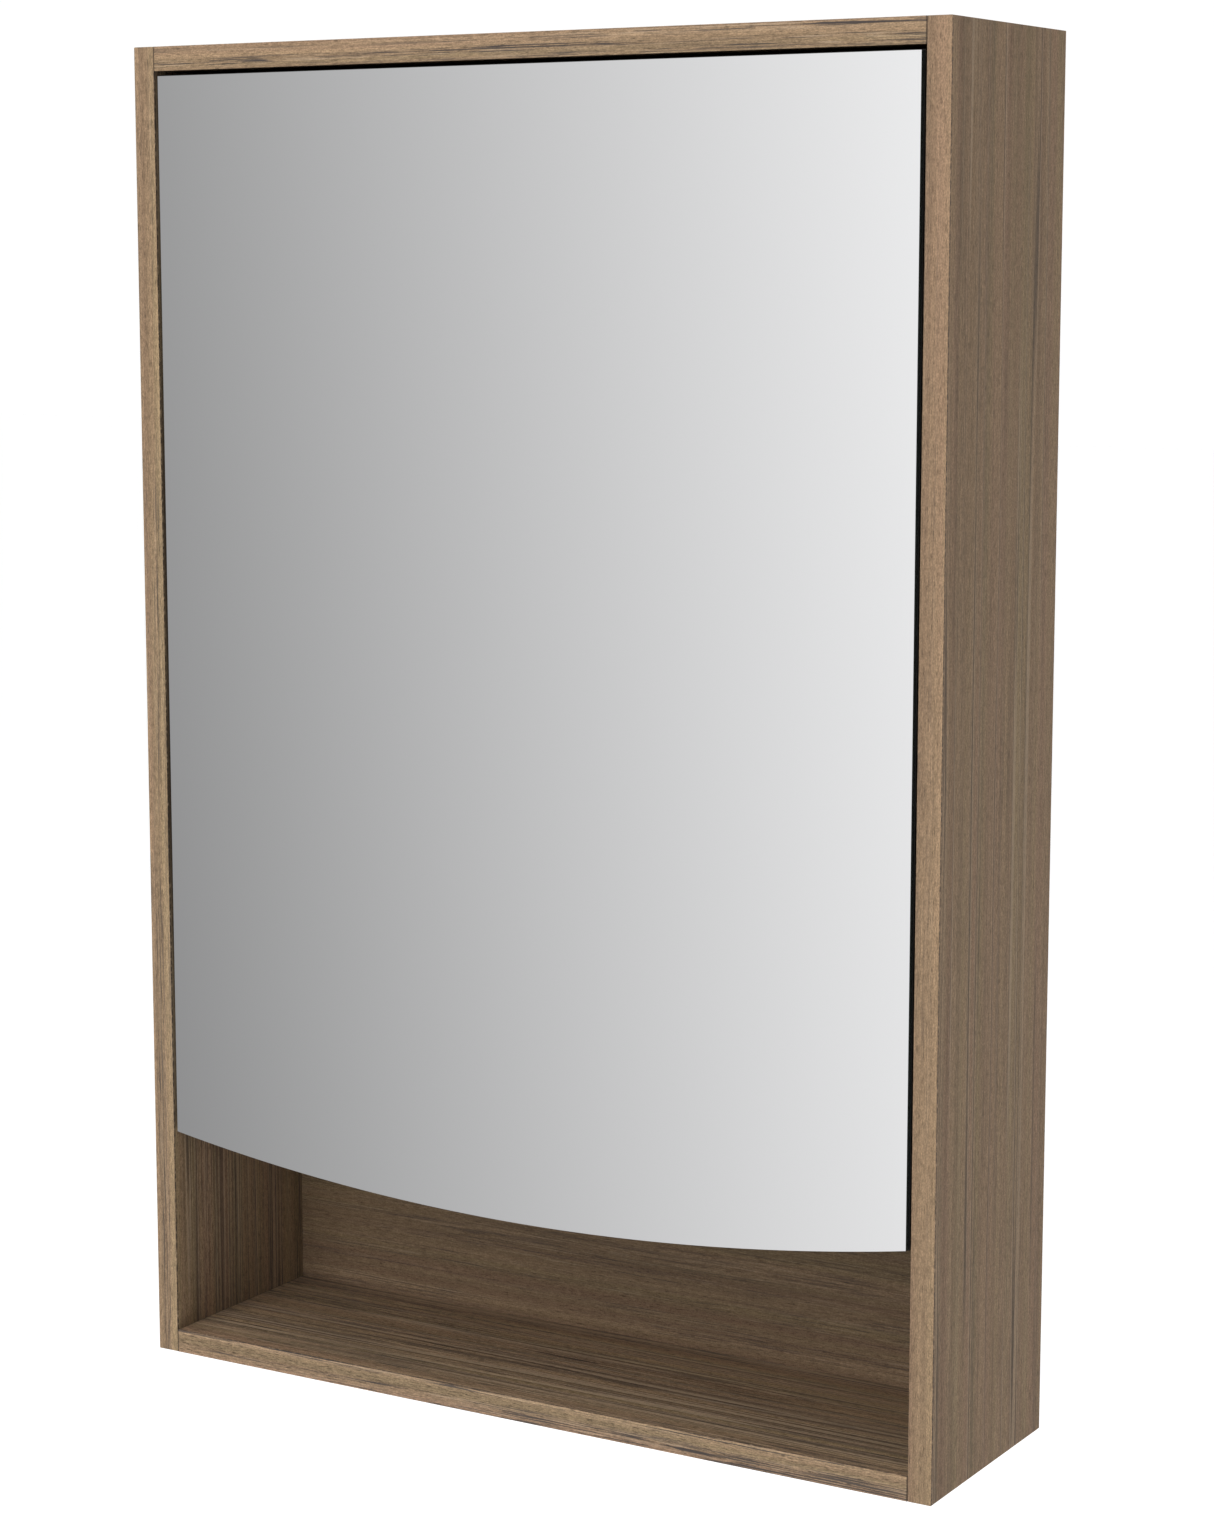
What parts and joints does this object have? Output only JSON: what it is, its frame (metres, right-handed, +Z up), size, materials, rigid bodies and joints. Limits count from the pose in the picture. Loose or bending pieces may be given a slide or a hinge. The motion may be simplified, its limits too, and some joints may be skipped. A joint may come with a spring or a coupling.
{
  "type": "mirrored medicine cabinet",
  "caption": "Wall-hung medicine cabinet with an arch-bottomed mirror door on concealed hinges over an open niche, with glass shelves inside.",
  "frame": {"origin": "middle of the cabinet's base, at the centre of its width and depth", "axes": "+Z up, +X to the right seen from the front, +Y towards the wall, so that the mirror faces -Y"},
  "size_m": [0.6, 0.165, 0.9],
  "materials": {
    "wood_board": "grey-brown wood-grain melamine, satin",
    "mirror_glass": "polished float-glass mirror",
    "shelf_glass": "clear float glass with ground edges",
    "nickel_steel": "nickel-plated steel",
    "zinc_steel": "zinc-plated steel",
    "white_plastic": "fine-textured moulded plastic",
    "soft_plastic": "translucent soft plastic",
    "beech": "fluted beech dowel"
  },
  "bodies": {
    "cabinet": {"left_side_panel": "wood_board", "right_side_panel": "wood_board", "top_panel": "wood_board", "divider_panel": "wood_board", "bottom_panel": "wood_board", "back_panel": "wood_board", "dowel_top_left_front": "beech", "dowel_top_left_rear": "beech", "dowel_divider_left_front": "beech", "dowel_divider_left_rear": "beech", "dowel_bottom_left_front": "beech", "dowel_bottom_left_rear": "beech", "dowel_top_right_front": "beech", "dowel_top_right_rear": "beech", "dowel_divider_right_front": "beech", "dowel_divider_right_rear": "beech", "dowel_bottom_right_front": "beech", "dowel_bottom_right_rear": "beech", "lower_glass_shelf": "shelf_glass", "upper_glass_shelf": "shelf_glass", "shelf_pin_lower_left_front": "nickel_steel", "shelf_pin_lower_left_rear": "nickel_steel", "shelf_pin_lower_right_front": "nickel_steel", "shelf_pin_lower_right_rear": "nickel_steel", "shelf_pin_upper_left_front": "nickel_steel", "shelf_pin_upper_left_rear": "nickel_steel", "shelf_pin_upper_right_front": "nickel_steel", "shelf_pin_upper_right_rear": "nickel_steel", "left_hanger_housing": "white_plastic", "left_hanger_cover": "white_plastic", "left_hanger_hook": "zinc_steel", "left_wall_plate": "zinc_steel", "left_hanger_screw": "zinc_steel", "right_hanger_housing": "white_plastic", "right_hanger_cover": "white_plastic", "right_hanger_hook": "zinc_steel", "right_wall_plate": "zinc_steel", "right_hanger_screw": "zinc_steel", "door_bumper_middle": "soft_plastic", "door_bumper_right": "soft_plastic", "upper_hinge_plate": "nickel_steel", "upper_hinge_arm": "nickel_steel", "lower_hinge_plate": "nickel_steel", "lower_hinge_arm": "nickel_steel", "upper_plate_screw_low": "zinc_steel", "upper_plate_screw_high": "zinc_steel", "lower_plate_screw_low": "zinc_steel", "lower_plate_screw_high": "zinc_steel"},
    "outer_links": {"upper_hinge_outer_link": "nickel_steel", "lower_hinge_outer_link": "nickel_steel"},
    "inner_links": {"upper_hinge_inner_link": "zinc_steel", "lower_hinge_inner_link": "zinc_steel"},
    "door": {"door_panel": "wood_board", "mirror": "mirror_glass", "upper_hinge_cup": "nickel_steel", "lower_hinge_cup": "nickel_steel", "upper_cup_screw_low": "zinc_steel", "upper_cup_screw_high": "zinc_steel", "lower_cup_screw_low": "zinc_steel", "lower_cup_screw_high": "zinc_steel"}
  },
  "joints": [
    {"name": "door_pivot", "type": "hinge", "parent": "outer_links", "child": "door", "pos_m": [-0.2696, -0.0662, 0.52], "axis": [0, 0, -1], "range_deg": [0, 161]},
    {"name": "outer_link_pivot", "type": "hinge", "parent": "cabinet", "child": "outer_links", "pos_m": [-0.2495, -0.0538, 0.52], "axis": [0, 0, 1], "range_deg": [0, 61]},
    {"name": "inner_link_pivot", "type": "hinge", "parent": "cabinet", "child": "inner_links", "pos_m": [-0.23, -0.055, 0.52], "axis": [0, 0, 1], "range_deg": [0, 42.5]}
  ],
  "couplings": [
    {"joint": "outer_link_pivot", "follows": "door_pivot", "ratio": 0.3788},
    {"joint": "inner_link_pivot", "follows": "door_pivot", "ratio": 0.2634}
  ]
}
